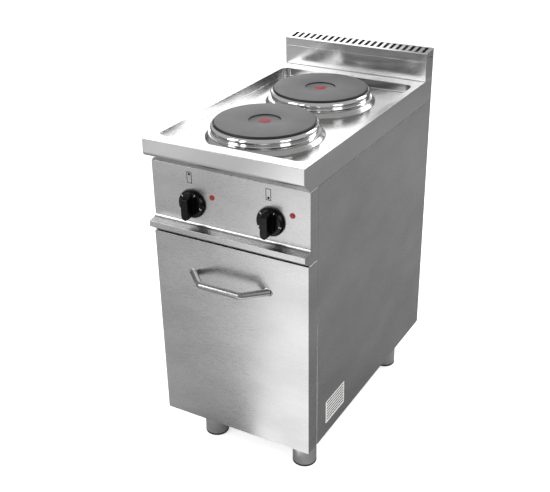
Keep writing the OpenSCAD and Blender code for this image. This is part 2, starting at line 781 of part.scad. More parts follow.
module door_bushes() color("goldenrod") {
    tube_z(hinge_x, hinge_y, z_door, bush_r, pin_d / 2 + pin_fit, bush_l);
    tube_z(hinge_x, hinge_y, z_door_top - bush_l, bush_r, pin_d / 2 + pin_fit, bush_l);
}

module lower_hinge() color("gray") difference() {
    union() {
        span([-door_x, hinge_y - 8, leg_h - hinge_plate], [hinge_inner, y_side + 55, leg_h]);
        translate([hinge_x, hinge_y, leg_h - hinge_plate]) cylinder(d = pin_d, h = hinge_plate + bush_l);
    }
    for (y = [y_side + 16, y_side + 44]) translate([hinge_inner - 10, y, leg_h - hinge_plate - cut])
        cylinder(d = 5, h = hinge_plate + 2 * cut);
}

module upper_hinge() color("gray") {
    z0 = z_under + sheet;
    difference() {
        span([-half_in + hair, hinge_y - 8, z0], [hinge_inner + 16, y_side - 3, z0 + hinge_plate]);
        for (x = [hinge_inner, hinge_inner + 10]) translate([x, hinge_y + 8, z0 - cut])
            cylinder(d = 5, h = hinge_plate + 2 * cut);
    }
    translate([hinge_x, hinge_y, z_door_top - bush_l + 1])
        cylinder(d = pin_d, h = z0 - z_door_top + bush_l - 1);
}

// Screws of both hinge plates, with their heads on the plates
module hinge_screws() color("gray") {
    for (y = [y_side + 16, y_side + 44]) translate([hinge_inner - 10, y, leg_h - hinge_plate]) {
        translate([0, 0, -2.6]) cylinder(d = 8, h = 2.6);
        cylinder(d = 5, h = hinge_plate);
    }
    for (x = [hinge_inner, hinge_inner + 10]) translate([x, hinge_y + 8, z_under + sheet]) {
        cylinder(d = 5, h = hinge_plate);
        translate([0, 0, hinge_plate]) cylinder(d = 8, h = 2.6);
    }
}

module catch_magnet() color("dimgray") {
    z1 = z_heat - hair - 24;
    span([catch_x - 23, y_door_back + 1, z1 - 14], [catch_x + 23, y_frame + 30, z1]);
}

module catch_strike() color(steel) {
    z1 = z_heat - hair - 24;
    span([catch_x - 25, y_door_back - sheet, z1 - 16], [catch_x + 25, y_door_back, z1 + 1]);
}

// ---- Legs and feet -------------------------------------------------------------------

module leg(x, y) color(steel) translate([x, y, 0]) {
    tube_z(0, 0, foot_t + foot_gap, leg_d / 2, leg_d / 2 - leg_wall, leg_h - pad - foot_t - foot_gap);
    span([-45, -45, leg_h - pad], [45, 45, leg_h]);
}

module leg_plugs() color(plastic) for (x = [-leg_x, leg_x], y = [y_leg_front, y_leg_rear])
    tube_z(x, y, foot_t + 1, leg_d / 2 - leg_wall, stem_d / 2 + stem_fit, 30);

module foot(x, y) color(plastic) translate([x, y, 0]) {
    cylinder(d = leg_d, h = foot_t);
    cylinder(d = stem_d, h = stem_l);
}

worktop();
upstand_shell();
upstand_cap();
control_panel();
side_panel(-1);  // side_panel_left
side_panel(1);  // side_panel_right
back_panel();
base_tray();
compartment_floor();
front_rail();
worktop_rail();
hot_plate(y_front_plate);  // front_plate
hot_plate(y_rear_plate);  // rear_plate
red_spots();
spill_ring(y_front_plate);  // front_spill_ring
spill_ring(y_rear_plate);  // rear_spill_ring
ring_gaskets();
heating_coil(y_front_plate);  // front_heating_coil
heating_coil(y_rear_plate);  // rear_heating_coil
insulation_discs();
plate_pans();
clamp_bridges();
clamp_studs();
clamp_nuts();
plate_terminals();
switch_block(knob_xs[0]);  // switch_left
switch_block(knob_xs[1]);  // switch_right
spindle(knob_xs[0]);  // spindle_left
spindle(knob_xs[1]);  // spindle_right
knob(knob_xs[0]);  // knob_left
knob(knob_xs[1]);  // knob_right
pilot_lenses();
pilot_bodies();
mains_terminal();
cable_gland();
bonding_stud();
wiring_loom();
back_panel_screws();
door_skin();
door_liner();
door_stiffener();
door_handle();
handle_nuts();
lower_hinge();
upper_hinge();
door_bushes();
hinge_screws();
catch_magnet();
catch_strike();
leg(-leg_x, y_leg_front);  // leg_front_left
leg(leg_x, y_leg_front);  // leg_front_right
leg(-leg_x, y_leg_rear);  // leg_rear_left
leg(leg_x, y_leg_rear);  // leg_rear_right
leg_plugs();
foot(-leg_x, y_leg_front);  // foot_front_left
foot(leg_x, y_leg_front);  // foot_front_right
foot(-leg_x, y_leg_rear);  // foot_rear_left
foot(leg_x, y_leg_rear);  // foot_rear_right
rating_plate();
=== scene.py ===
# Free-standing electric range with two cast-iron hot plates, finished round its engineering frame.
import json
import math

import bmesh
import bpy
from mathutils import Matrix, Vector


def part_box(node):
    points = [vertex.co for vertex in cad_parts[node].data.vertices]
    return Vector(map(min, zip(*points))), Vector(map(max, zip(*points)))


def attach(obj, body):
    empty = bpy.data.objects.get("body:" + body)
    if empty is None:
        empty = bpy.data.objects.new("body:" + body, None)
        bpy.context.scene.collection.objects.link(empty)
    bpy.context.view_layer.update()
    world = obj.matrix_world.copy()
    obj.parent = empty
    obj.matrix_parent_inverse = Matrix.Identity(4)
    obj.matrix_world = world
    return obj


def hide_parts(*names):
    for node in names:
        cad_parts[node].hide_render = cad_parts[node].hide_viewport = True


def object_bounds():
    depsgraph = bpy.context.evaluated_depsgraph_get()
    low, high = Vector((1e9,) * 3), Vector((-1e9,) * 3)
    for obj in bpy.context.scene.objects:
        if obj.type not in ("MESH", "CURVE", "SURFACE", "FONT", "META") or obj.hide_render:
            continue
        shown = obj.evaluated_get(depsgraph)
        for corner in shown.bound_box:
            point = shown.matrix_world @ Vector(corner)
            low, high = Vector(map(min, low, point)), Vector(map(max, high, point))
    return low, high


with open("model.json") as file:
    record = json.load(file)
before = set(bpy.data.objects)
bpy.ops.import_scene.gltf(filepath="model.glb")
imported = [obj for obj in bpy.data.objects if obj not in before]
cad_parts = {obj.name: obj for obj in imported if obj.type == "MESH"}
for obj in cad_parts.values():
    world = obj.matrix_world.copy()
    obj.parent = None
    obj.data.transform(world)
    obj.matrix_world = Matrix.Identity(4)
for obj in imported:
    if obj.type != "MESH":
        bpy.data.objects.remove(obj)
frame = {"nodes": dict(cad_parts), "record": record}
cadLow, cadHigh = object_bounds()
nodes = frame["nodes"]
mm = 0.001

bodyOfNode = {n: b for b, members in frame["record"]["behaviour"]["bodies"].items() for n in members}
slotOfNode = {p["node"]: p["material_slot"] for p in frame["record"]["subparts"]}
print("frame loaded:", len(nodes), "nodes")


# Stands to the object's front right, above it, looking down
cameraSettings = {
    "place": (1.00333, -1.85000, 1.55427),   # metres
    "turn": 29.95,                           # degrees round the object
    "dip": 26.98,                            # degrees down
    "roll": -1.03,                           # degrees
    "lens": 61.03, "sensor": 36,             # mm
    "near": 0.05, "far": 60,                 # metres
}


def makeCamera(s):
    turn, dip, roll = (math.radians(s[k]) for k in ("turn", "dip", "roll"))
    ahead = Vector((-math.sin(turn) * math.cos(dip), math.cos(turn) * math.cos(dip), -math.sin(dip)))
    right = Vector((math.cos(turn), math.sin(turn), 0))
    up = right.cross(ahead)
    sideways = right * math.cos(roll) + up * math.sin(roll)
    upwards = up * math.cos(roll) - right * math.sin(roll)
    data = bpy.data.cameras.new("camera")
    data.sensor_width, data.lens = s["sensor"], s["lens"]
    data.clip_start, data.clip_end = s["near"], s["far"]
    camera = bpy.data.objects.new("camera", data)
    bpy.context.scene.collection.objects.link(camera)
    basis = Matrix((sideways, upwards, -ahead)).transposed().to_4x4()
    camera.matrix_world = Matrix.Translation(s["place"]) @ basis
    bpy.context.scene.camera = camera


makeCamera(cameraSettings)


def linear(hexColour):
    # An sRGB hex colour as linear red, green, blue and one
    parts = [int(hexColour[i:i + 2], 16) / 255 for i in (1, 3, 5)]
    return (*[c / 12.92 if c <= 0.04045 else ((c + 0.055) / 1.055) ** 2.4 for c in parts], 1.0)


def addNode(tree, kind, settings=None, links=None):
    node = tree.nodes.new(kind)
    for name, value in (settings or {}).items():
        if isinstance(name, int) or name in node.inputs:
            node.inputs[name].default_value = value
        else:
            setattr(node, name, value)
    for name, source in (links or {}).items():
        tree.links.new(source, node.inputs[name])
    return node


def startMaterial(name, shaderSettings):
    material = bpy.data.materials.new(name)
    material.use_nodes = True
    tree = material.node_tree
    tree.nodes.clear()
    shader = addNode(tree, "ShaderNodeBsdfPrincipled", shaderSettings)
    addNode(tree, "ShaderNodeOutputMaterial", links={"Surface": shader.outputs[0]})
    return material, tree, shader


def patternPlace(tree, sizes, centre=(0, 0, 0)):
    # Object coordinates moved to the centre and divided by the pattern's size in millimetres
    where = addNode(tree, "ShaderNodeTexCoord")
    moved = addNode(tree, "ShaderNodeVectorMath", {"operation": "SUBTRACT", 1: centre},
                    {0: where.outputs["Object"]})
    scale = tuple(1 / (s * mm) for s in sizes)
    return addNode(tree, "ShaderNodeVectorMath", {"operation": "MULTIPLY", 1: scale},
                   {0: moved.outputs[0]})


noiseSpan = {"From Min": 0.3, "From Max": 0.7}  # where most of a noise's values lie
toneSpan = 0.28                                # the same on each side of the middle of two noises added


def speckled(name, s):
    # A finish from two noises, sizes in mm: a fine grain for roughness, height and part of the colour,
    # and broad patches for the rest of the colour
    material, tree, shader = startMaterial(name, s["shader"])
    fine = addNode(tree, "ShaderNodeTexNoise", {"Scale": 1.0, "Detail": s.get("detail", 2.0)},
                   {"Vector": patternPlace(tree, s["grain"]).outputs[0]})
    broad = addNode(tree, "ShaderNodeTexNoise", {"Scale": 1.0, "Detail": 2.0},
                    {"Vector": patternPlace(tree, s["patches"]).outputs[0]})
    rough = addNode(tree, "ShaderNodeMapRange",
                    {**noiseSpan, "To Min": s["rough"][0], "To Max": s["rough"][1]},
                    {"Value": fine.outputs["Fac"]})
    blend = addNode(tree, "ShaderNodeMath", {"operation": "MULTIPLY_ADD", 1: s.get("grainTone", 0.5)},
                    {0: fine.outputs["Fac"], 2: broad.outputs["Fac"]})
    tone = addNode(tree, "ShaderNodeValToRGB", links={"Fac": blend.outputs[0]})
    mid = 0.5 + 0.5 * s.get("grainTone", 0.5)
    ends = (mid - toneSpan, mid + toneSpan)
    for stop, place, colour in zip(tone.color_ramp.elements, ends, s["colours"]):
        stop.position, stop.color = place, linear(colour)
    bump = addNode(tree, "ShaderNodeBump", {"Strength": s["bump"][0], "Distance": s["bump"][1] * mm},
                   {"Height": fine.outputs["Fac"]})
    tree.links.new(tone.outputs[0], shader.inputs["Base Color"])
    tree.links.new(rough.outputs[0], shader.inputs["Roughness"])
    tree.links.new(bump.outputs[0], shader.inputs["Normal"])
    return material


# Satin stainless sheet, 1.4301: rolled and belt-ground, so its fine grain runs level round the cabinet
satinSteel = speckled("satin_stainless_sheet", {
    "shader": {"Metallic": 1.0},
    "colours": ("#9c9c9c", "#acacac"), "rough": (0.25, 0.35),
    "grain": (14, 14, 0.7), "patches": (180, 180, 90), "bump": (0.25, 0.03), "grainTone": 0.6,
})
# The same sheet on level faces, where the grain runs from front to back
satinTop = speckled("satin_stainless_top", {
    "shader": {"Metallic": 1.0},
    "colours": ("#a8a8a8", "#b6b6b6"), "rough": (0.16, 0.26),
    "grain": (0.7, 14, 14), "patches": (150, 220, 90), "bump": (0.2, 0.03), "grainTone": 0.5,
})
# Painted shade: the sheet's top edge in an open seam, coloured near black to stand for the shade inside
# the seam
seamShadeFinish = speckled("painted_seam_shade", {
    "shader": {"Metallic": 1.0},
    "colours": ("#242424", "#303030"), "rough": (0.5, 0.6),
    "grain": (0.8, 0.8, 0.8), "patches": (40, 40, 40), "bump": (0.2, 0.03),
})
# Buffed stainless: nearly a mirror, with faint turning lines
polishedSteel = speckled("polished_stainless", {
    "shader": {"Metallic": 1.0},
    "colours": ("#c8c8c8", "#d4d4d4"), "rough": (0.05, 0.10),
    "grain": (3, 3, 0.6), "patches": (60, 60, 60), "bump": (0.08, 0.02),
})
# Round bar, ground and then brushed by hand
handleSteel = speckled("ground_stainless_bar", {
    "shader": {"Metallic": 1.0},
    "colours": ("#848484", "#929292"), "rough": (0.22, 0.3),
    "grain": (6, 0.8, 0.8), "patches": (60, 60, 60), "bump": (0.15, 0.02),
})
# Welded stainless tube, only mill-finished; its colour is painted light, lighter than the sheet's, because
# the legs stand in shade under the cabinet
litLegSteel = speckled("leg_tube_with_painted_light", {
    "shader": {"Metallic": 1.0},
    "colours": ("#c6c6c6", "#d2d2d2"), "rough": (0.3, 0.4),
    "grain": (6, 6, 1.2), "patches": (60, 60, 60), "bump": (0.1, 0.03),
})
# Hot-dip zinc: dull grey with large soft crystals
galvanised = speckled("galvanised_sheet", {
    "shader": {"Metallic": 1.0},
    "colours": ("#8f9395", "#b2b6b8"), "rough": (0.32, 0.5),
    "grain": (9, 9, 9), "patches": (14, 14, 14), "bump": (0.1, 0.05), "detail": 4.0,
})
# Bright zinc plating on turned and stamped steel
zincPlate = speckled("bright_zinc_plate", {
    "shader": {"Metallic": 1.0},
    "colours": ("#a8abae", "#c2c5c8"), "rough": (0.2, 0.34),
    "grain": (1.2, 1.2, 1.2), "patches": (20, 20, 20), "bump": (0.1, 0.02),
})
brass = speckled("turned_brass", {
    "shader": {"Metallic": 1.0},
    "colours": ("#b8924a", "#cda864"), "rough": (0.18, 0.3),
    "grain": (1, 1, 1), "patches": (14, 14, 14), "bump": (0.1, 0.02),
})
# Fired and cooled many times: a thin brown-grey skin
coilWire = speckled("oxidised_resistance_wire", {
    "shader": {"Metallic": 0.6},
    "colours": ("#4a4038", "#6e5f50"), "rough": (0.5, 0.7),
    "grain": (0.8, 0.8, 0.8), "patches": (20, 20, 20), "bump": (0.3, 0.05),
})
# Pressed and fired white ceramic
steatite = speckled("steatite_ceramic", {
    "shader": {"IOR": 1.6},
    "colours": ("#ddd6c6", "#ece6d8"), "rough": (0.35, 0.5),
    "grain": (0.6, 0.6, 0.6), "patches": (12, 12, 12), "bump": (0.15, 0.03),
})
gasketFibre = speckled("glass_fibre_gasket", {
    "shader": {"IOR": 1.5},
    "colours": ("#cfc8b8", "#e4dfd2"), "rough": (0.8, 0.95),
    "grain": (0.7, 0.7, 0.7), "patches": (10, 10, 10), "bump": (0.6, 0.2),
})
ferrite = speckled("ferrite_magnet", {
    "shader": {"IOR": 1.9},
    "colours": ("#26262a", "#36363a"), "rough": (0.45, 0.6),
    "grain": (0.8, 0.8, 0.8), "patches": (12, 12, 12), "bump": (0.3, 0.05),
})
siliconeSleeve = speckled("silicone_wire_sleeve", {
    "shader": {"IOR": 1.41},
    "colours": ("#a8401e", "#c2552c"), "rough": (0.45, 0.6),
    "grain": (1.5, 1.5, 1.5), "patches": (40, 40, 40), "bump": (0.15, 0.05),
})
# Compression-moulded phenolic: deep black with a soft shine
phenolic = speckled("moulded_black_phenolic", {
    "shader": {"IOR": 1.5, "Specular IOR Level": 0.16},
    "colours": ("#020202", "#050505"), "rough": (0.16, 0.24),
    "grain": (0.5, 0.5, 0.5), "patches": (16, 16, 16), "bump": (0.08, 0.03),
})
footPlastic = speckled("moulded_black_polyamide", {
    "shader": {"IOR": 1.53},
    "colours": ("#131313", "#202020"), "rough": (0.4, 0.55),
    "grain": (0.8, 0.8, 0.8), "patches": (20, 20, 20), "bump": (0.2, 0.05),
})
# Enamel dot fused on the iron
redEnamel = speckled("red_enamel", {
    "shader": {"IOR": 1.5, "Specular IOR Level": 0.25},
    "colours": ("#84101a", "#941824"), "rough": (0.5, 0.62),
    "grain": (0.8, 0.8, 0.8), "patches": (8, 8, 8), "bump": (0.1, 0.03),
})
redLens = speckled("red_polycarbonate_lens", {
    "shader": {"IOR": 1.58, "Specular IOR Level": 0.35},
    "colours": ("#7a100d", "#901a14"), "rough": (0.3, 0.4),
    "grain": (1.2, 1.2, 1.2), "patches": (5, 5, 5), "bump": (0.05, 0.02),
})
labelFoil = speckled("printed_label_foil", {
    "shader": {"IOR": 1.5},
    "colours": ("#f2f2f0", "#fafaf8"), "rough": (0.45, 0.6),
    "grain": (1, 1, 1), "patches": (30, 30, 30), "bump": (0.05, 0.02),
})
printInk = speckled("dark_print", {
    "shader": {"IOR": 1.5, "Specular IOR Level": 0.2},
    "colours": ("#060606", "#0c0c0c"), "rough": (0.5, 0.65),
    "grain": (0.6, 0.6, 0.6), "patches": (8, 8, 8), "bump": (0.05, 0.02),
})
whitePrint = speckled("white_dial_print", {
    "shader": {"IOR": 1.5},
    "colours": ("#d8d8d6", "#ecece8"), "rough": (0.5, 0.65),
    "grain": (0.6, 0.6, 0.6), "patches": (6, 6, 6), "bump": (0.05, 0.02),
})


def castIron(name, s, centre):
    # Grey cast iron, turned flat and blacked: fine rings round the plate's own centre over a sandy grain
    material, tree, shader = startMaterial(name, {"IOR": 1.5, "Metallic": s["metallic"]})
    place = patternPlace(tree, (s["ringMm"],) * 3, centre)
    flat = addNode(tree, "ShaderNodeVectorMath", {"operation": "MULTIPLY", 1: (1, 1, 0)},
                   {0: place.outputs[0]})
    reach = addNode(tree, "ShaderNodeVectorMath", {"operation": "LENGTH"}, {0: flat.outputs[0]})
    wave = addNode(tree, "ShaderNodeMath", {"operation": "SINE"}, {0: reach.outputs["Value"]})
    grain = addNode(tree, "ShaderNodeTexNoise", {"Scale": 1.0, "Detail": 3.0},
                    {"Vector": patternPlace(tree, (s["grainMm"],) * 3).outputs[0]})
    patches = addNode(tree, "ShaderNodeTexNoise", {"Scale": 1.0, "Detail": 3.0},
                      {"Vector": patternPlace(tree, (s["patchMm"],) * 3).outputs[0]})
    height = addNode(tree, "ShaderNodeMath", {"operation": "MULTIPLY_ADD", 1: s["ringShare"]},
                     {0: wave.outputs[0], 2: grain.outputs["Fac"]})
    bump = addNode(tree, "ShaderNodeBump", {"Strength": s["bump"][0], "Distance": s["bump"][1] * mm},
                   {"Height": height.outputs[0]})
    rough = addNode(tree, "ShaderNodeMapRange",
                    {**noiseSpan, "To Min": s["rough"][0], "To Max": s["rough"][1]},
                    {"Value": grain.outputs["Fac"]})
    tone = addNode(tree, "ShaderNodeValToRGB", links={"Fac": patches.outputs["Fac"]})
    for stop, place, colour in zip(tone.color_ramp.elements, noiseSpan.values(), s["colours"]):
        stop.position, stop.color = place, linear(colour)
    # The rim is left as cast and blacked. The recess's side gets a ring of painted shade in the same near
    # black, standing for the shade in the recess
    rimStart = (plateRadius / mm - s["rimMm"]) / s["ringMm"]
    rim = addNode(tree, "ShaderNodeMapRange", {"From Min": rimStart, "From Max": rimStart + s["rimFade"]},
                  {"Value": reach.outputs["Value"]})
    recessShade = addNode(tree, "ShaderNodeMath",
                   {"operation": "COMPARE", 1: s["shadeRingMm"] / s["ringMm"], 2: s["shadeRingHalf"] / s["ringMm"]},
                   {0: reach.outputs["Value"]})
    black = addNode(tree, "ShaderNodeMath", {"operation": "MAXIMUM"},
                    {0: rim.outputs[0], 1: recessShade.outputs[0]})
    colour = addNode(tree, "ShaderNodeMix", {"data_type": "RGBA", 7: linear(s["rimAndShadeColour"])},
                     {0: black.outputs[0], 6: tone.outputs[0]})
    tree.links.new(colour.outputs[2], shader.inputs["Base Color"])
    tree.links.new(rough.outputs[0], shader.inputs["Roughness"])
    tree.links.new(bump.outputs[0], shader.inputs["Normal"])
    return material


finishOfSlot = {
    "brushed_stainless": satinSteel, "polished_stainless": polishedSteel, "galvanised_sheet": galvanised,
    "zinc_plated_steel": zincPlate, "red_enamel": redEnamel, "fibre_gasket": gasketFibre,
    "resistance_wire": coilWire, "brass": brass, "steatite": steatite, "black_phenolic": phenolic,
    "red_lens": redLens, "silicone_wire": siliconeSleeve, "ferrite_magnet": ferrite,
    "label_foil": labelFoil,
}
finishOfNode = {"foot_front_left": footPlastic, "foot_front_right": footPlastic,
                "foot_rear_left": footPlastic, "foot_rear_right": footPlastic, "leg_plugs": footPlastic}
for name, part in nodes.items():
    finish = finishOfNode.get(name) or finishOfSlot.get(slotOfNode[name], satinSteel)
    for i in range(len(part.material_slots)):
        part.material_slots[i].material = finish
print("materials made:", len(bpy.data.materials))


# Metres for the welds, degrees for the angles
meshSettings = {"weld": 1e-6, "sheetWeld": 2e-6, "onAxis": 1e-9, "flat": 0.6, "fold": 25, "sharp": 32}


def midOf(node):
    # The middle of a CAD node's box
    low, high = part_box(node)
    return (low + high) / 2


def addPiece(name, bm, finish, body, stands=()):
    # Closes seams, turns faces outwards, shades smooth with flat faces kept flat
    bmesh.ops.remove_doubles(bm, verts=bm.verts, dist=meshSettings["weld"])
    bmesh.ops.recalc_face_normals(bm, faces=bm.faces)
    mesh = bpy.data.meshes.new(name)
    bm.to_mesh(mesh)
    bm.free()
    mesh.materials.append(finish)
    for face in mesh.polygons:
        face.use_smooth = True
    mesh.set_sharp_from_angle(angle=math.radians(meshSettings["sharp"]))
    piece = bpy.data.objects.new(name, mesh)
    bpy.context.scene.collection.objects.link(piece)
    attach(piece, body)
    if stands:
        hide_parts(*stands)
    return piece


def spin(bm, outline, centre, steps, axis="Z"):
    # A closed outline of (radius, height) turned round an axis through the centre
    rings = []
    for i in range(steps):
        a = 2 * math.pi * i / steps
        ring = []
        for r, h in outline:
            if axis == "Z":
                offset = Vector((r * math.cos(a), r * math.sin(a), h))
            else:                              # round -Y, heights towards the front
                offset = Vector((r * math.cos(a), -h, r * math.sin(a)))
            ring.append(bm.verts.new(Vector(centre) + offset))
        rings.append(ring)
    pole = [r < meshSettings["onAxis"] for r, h in outline]
    count = len(outline)
    for i in range(steps):
        here, there = rings[i], rings[(i + 1) % steps]
        for j in range(count):
            k = (j + 1) % count
            if pole[j] and pole[k]:
                continue
            corners = [here[j], there[j], there[k], here[k]]
            if pole[j]:
                corners = [here[j], there[k], here[k]]
            elif pole[k]:
                corners = [here[j], there[j], here[k]]
            bm.faces.new(corners)


def arc(centre, radius, start, end, steps):
    # Points on a circle, from one angle in degrees to another
    return [(centre[0] + radius * math.cos(math.radians(start + (end - start) * i / steps)),
             centre[1] + radius * math.sin(math.radians(start + (end - start) * i / steps)))
            for i in range(steps + 1)]


def softened(node, name, finish, width, rules=(), segments=3):
    # A copy of a sheet part with its loose triangles joined, and every fold and edge rounded over;
    # widths are in mm, and the first rule that an edge's middle meets gives its own
    bm = bmesh.new()
    bm.from_mesh(nodes[node].data)
    bmesh.ops.remove_doubles(bm, verts=bm.verts, dist=meshSettings["sheetWeld"])
    bmesh.ops.dissolve_limit(bm, angle_limit=math.radians(meshSettings["flat"]),
                             verts=bm.verts, edges=bm.edges)
    weights = bm.edges.layers.float.new("bevel_weight_edge")
    most = max([width] + [ruleWidth for test, ruleWidth in rules])
    for edge in bm.edges:
        if len(edge.link_faces) != 2 or edge.calc_face_angle(0) < math.radians(meshSettings["fold"]):
            continue
        middle = (edge.verts[0].co + edge.verts[1].co) / 2
        chosen = width
        for test, ruleWidth in rules:
            if test(middle, edge):
                chosen = ruleWidth
                break
        edge[weights] = chosen / most
    piece = addPiece(name, bm, finish, bodyOfNode[node], (node,))
    bevel = piece.modifiers.new("edges", "BEVEL")
    bevel.limit_method, bevel.width, bevel.segments = "WEIGHT", most * mm, segments
    bevel.use_clamp_overlap = False
    bevel.offset_type = "OFFSET"
    shade = piece.modifiers.new("shade", "WEIGHTED_NORMAL")
    shade.keep_sharp, shade.weight = False, 60
    return piece


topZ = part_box("upstand_shell")[0].z            # top face of the worktop
frontPlate, rearPlate = midOf("front_plate"), midOf("rear_plate")
plateRadius = (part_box("front_plate")[1].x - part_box("front_plate")[0].x) / 2
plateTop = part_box("front_plate")[1].z

sheetEdges = {                                 # CAD node: piece name, finish, edge radius in mm
    "upstand_shell": ("upstand", satinTop, 0.1),
    "upstand_cap": ("upstand_grille", satinTop, 0.15),
    "control_panel": ("control_fascia", satinSteel, 0.5),
    "side_panel_left": ("cabinet_side_left", satinSteel, 0.5),
    "side_panel_right": ("cabinet_side_right", satinSteel, 0.5),
    "back_panel": ("cabinet_back", galvanised, 0.3),
    "door_skin": ("door_shell", satinSteel, 0.9),
    # The legs take the steel made lighter as painted light
    "leg_front_left": ("leg_tube_front_left", litLegSteel, 0.4),
    "leg_front_right": ("leg_tube_front_right", litLegSteel, 0.4),
    "leg_rear_left": ("leg_tube_rear_left", litLegSteel, 0.4),
    "leg_rear_right": ("leg_tube_rear_right", litLegSteel, 0.4),
    "foot_front_left": ("foot_disc_front_left", footPlastic, 0.8),
    "foot_front_right": ("foot_disc_front_right", footPlastic, 0.8),
    "foot_rear_left": ("foot_disc_rear_left", footPlastic, 0.8),
    "foot_rear_right": ("foot_disc_rear_right", footPlastic, 0.8),
    "cable_gland": ("cable_gland_body", footPlastic, 0.5),
    "rating_plate": ("rating_plate_foil", labelFoil, 0.15),
    "knob_left": ("knob_left_body", phenolic, 0.9),
    "knob_right": ("knob_right_body", phenolic, 0.9),
}
frontFold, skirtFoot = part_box("side_panel_left")[0].y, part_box("side_panel_left")[1].z
foldSizes = {"radius": 2.4, "long": 100, "behindFront": 0.4, "insideSide": 0.9}    # mm
seamSizes = {"radius": 0.06, "reach": 3}


def foldRule(p, e):
    # The side panels' front folds are rolled wider than their cut edges
    upright = abs(e.verts[0].co.z - e.verts[1].co.z) > foldSizes["long"] * mm
    atFront = p.y < frontFold + foldSizes["behindFront"] * mm
    return upright and atFront and abs(p.x) > cadHigh.x - foldSizes["insideSide"] * mm


def seamRule(p, e):
    # Edges along the seam under the worktop's skirt are cut sharp, so the seam stays a thin dark line
    return abs(p.z - skirtFoot) < seamSizes["reach"] * mm


sideRules = [(seamRule, seamSizes["radius"]), (foldRule, foldSizes["radius"])]
for node, (name, finish, radius) in sheetEdges.items():
    softened(node, name, finish, radius, sideRules if node.startswith("side_panel") else ())

seamShadeSizes = {"depth": 2, "reach": 0.3, "upwards": 0.8}    # mm, mm, part of a normal


def paintSeamShade(name, s):
    # Paints shade on the edge that faces up into the open seam over a sheet
    mesh = bpy.data.objects[name].data
    front = min(v.co.y for v in mesh.vertices)
    top = max(v.co.z for v in mesh.vertices if v.co.y < front + s["depth"] * mm)
    mesh.materials.append(seamShadeFinish)
    for face in mesh.polygons:
        if face.normal.z > s["upwards"] and abs(face.center.z - top) < s["reach"] * mm:
            face.material_index = 1


# Painted shade in the seams over the upstand and the cabinet's sides
for name in ("upstand", "cabinet_side_left", "cabinet_side_right"):
    paintSeamShade(name, seamShadeSizes)

topSizes = {                                   # mm
    "well": 22, "boss": 10, "bossFoot": (60, 125), "bossTop": (120, 140),    # depth, height, radii
    "sides": 10, "front": 20, "rear": 60, "nose": 1,                         # bands outside the well
    "footRadius": 2.0, "bossRadius": 2.5, "brinkRadius": 1.0, "noseRadius": 1.4, "cutRadius": 0.35,
    "level": 0.4, "segments": 4,
}


def worktopRules(s):
    # Wider bends at the well's foot, the bosses' edge, the well's brink and the nose
    low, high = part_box("worktop")
    wellFloor = topZ - s["well"] * mm

    def inWell(p):
        across = low.x + s["sides"] * mm < p.x < high.x - s["sides"] * mm
        return across and low.y + s["front"] * mm < p.y < cadHigh.y - s["rear"] * mm

    def atLevel(p, z):
        return abs(p.z - z) < s["level"] * mm

    def roundBoss(p, radii):
        return any(radii[0] * mm < math.hypot(p.x - c.x, p.y - c.y) < radii[1] * mm
                   for c in (frontPlate, rearPlate))

    def wellFoot(p, e):
        return inWell(p) and atLevel(p, wellFloor) and not roundBoss(p, s["bossFoot"])

    def bossEdge(p, e):
        return inWell(p) and atLevel(p, wellFloor + s["boss"] * mm) and roundBoss(p, s["bossTop"])

    def wellBrink(p, e):
        return inWell(p) and atLevel(p, topZ)

    def noseEdge(p, e):
        return atLevel(p, topZ) and p.y < low.y + s["nose"] * mm

    return [(seamRule, seamSizes["radius"]), (wellFoot, s["footRadius"]), (bossEdge, s["bossRadius"]),
            (wellBrink, s["brinkRadius"]), (noseEdge, s["noseRadius"])]


softened("worktop", "pressed_worktop", satinTop, topSizes["cutRadius"], worktopRules(topSizes),
         topSizes["segments"])
print("sheet metal finished")


ironLook = {
    "colours": ("#505052", "#5a5a5c"), "rough": (0.52, 0.64), "metallic": 0.0, "bump": (0.25, 0.05),
    "ringMm": 0.35, "ringShare": 0.35, "grainMm": 0.9, "patchMm": 45,
    # Painted shade ring on the recess's side: its radius and half width in mm come after the rim's sizes,
    # and the rim's near black colours it too
    "rimMm": 2.3, "rimFade": 1.5, "shadeRingMm": 36.3, "shadeRingHalf": 0.75, "rimAndShadeColour": "#050506",
}
castingSizes = {                               # mm; heights are from the cooking face down
    "recessR": 36.5, "recess": 3.0, "bevel": 2.0, "rim": 7.0, "skirtR": 107.5, "skirtWall": 6.0,
    "face": 10.0, "skirt": 26.0, "hubShort": 2, "hubR": 14.0, "studR": 4.0, "studHole": 12, "steps": 160,
}


def castingOutline(s):
    # Half of the casting's section: recess, face, bevelled rim, skirt, then its hollow underside
    r = plateRadius / mm
    hub, inner = s["skirt"] - s["hubShort"], s["skirtR"] - s["skirtWall"]
    line = [(0, -s["recess"])]
    line += [(s["recessR"] - 0.9, -s["recess"]), (s["recessR"] - 0.3, 0.3 - s["recess"]),
             (s["recessR"], 1.0 - s["recess"]), (s["recessR"], -0.5), (s["recessR"] + 0.2, -0.1),
             (s["recessR"] + 0.6, 0)]
    line += [(r - s["bevel"] - 0.5, 0), (r - s["bevel"], -0.1), (r - 0.8, -0.9), (r - 0.2, -1.8)]
    line += [(r, -2.6), (r, -s["rim"] + 0.6), (r - 0.6, -s["rim"])]
    line += [(s["skirtR"], -s["rim"]), (s["skirtR"], -s["skirt"]), (inner, -s["skirt"])]
    line += [(inner, -s["face"]), (s["hubR"], -s["face"]), (s["hubR"], -hub), (s["studR"], -hub),
             (s["studR"], -hub + s["studHole"]), (0, -hub + s["studHole"])]
    return [(x * mm, z * mm) for x, z in line]


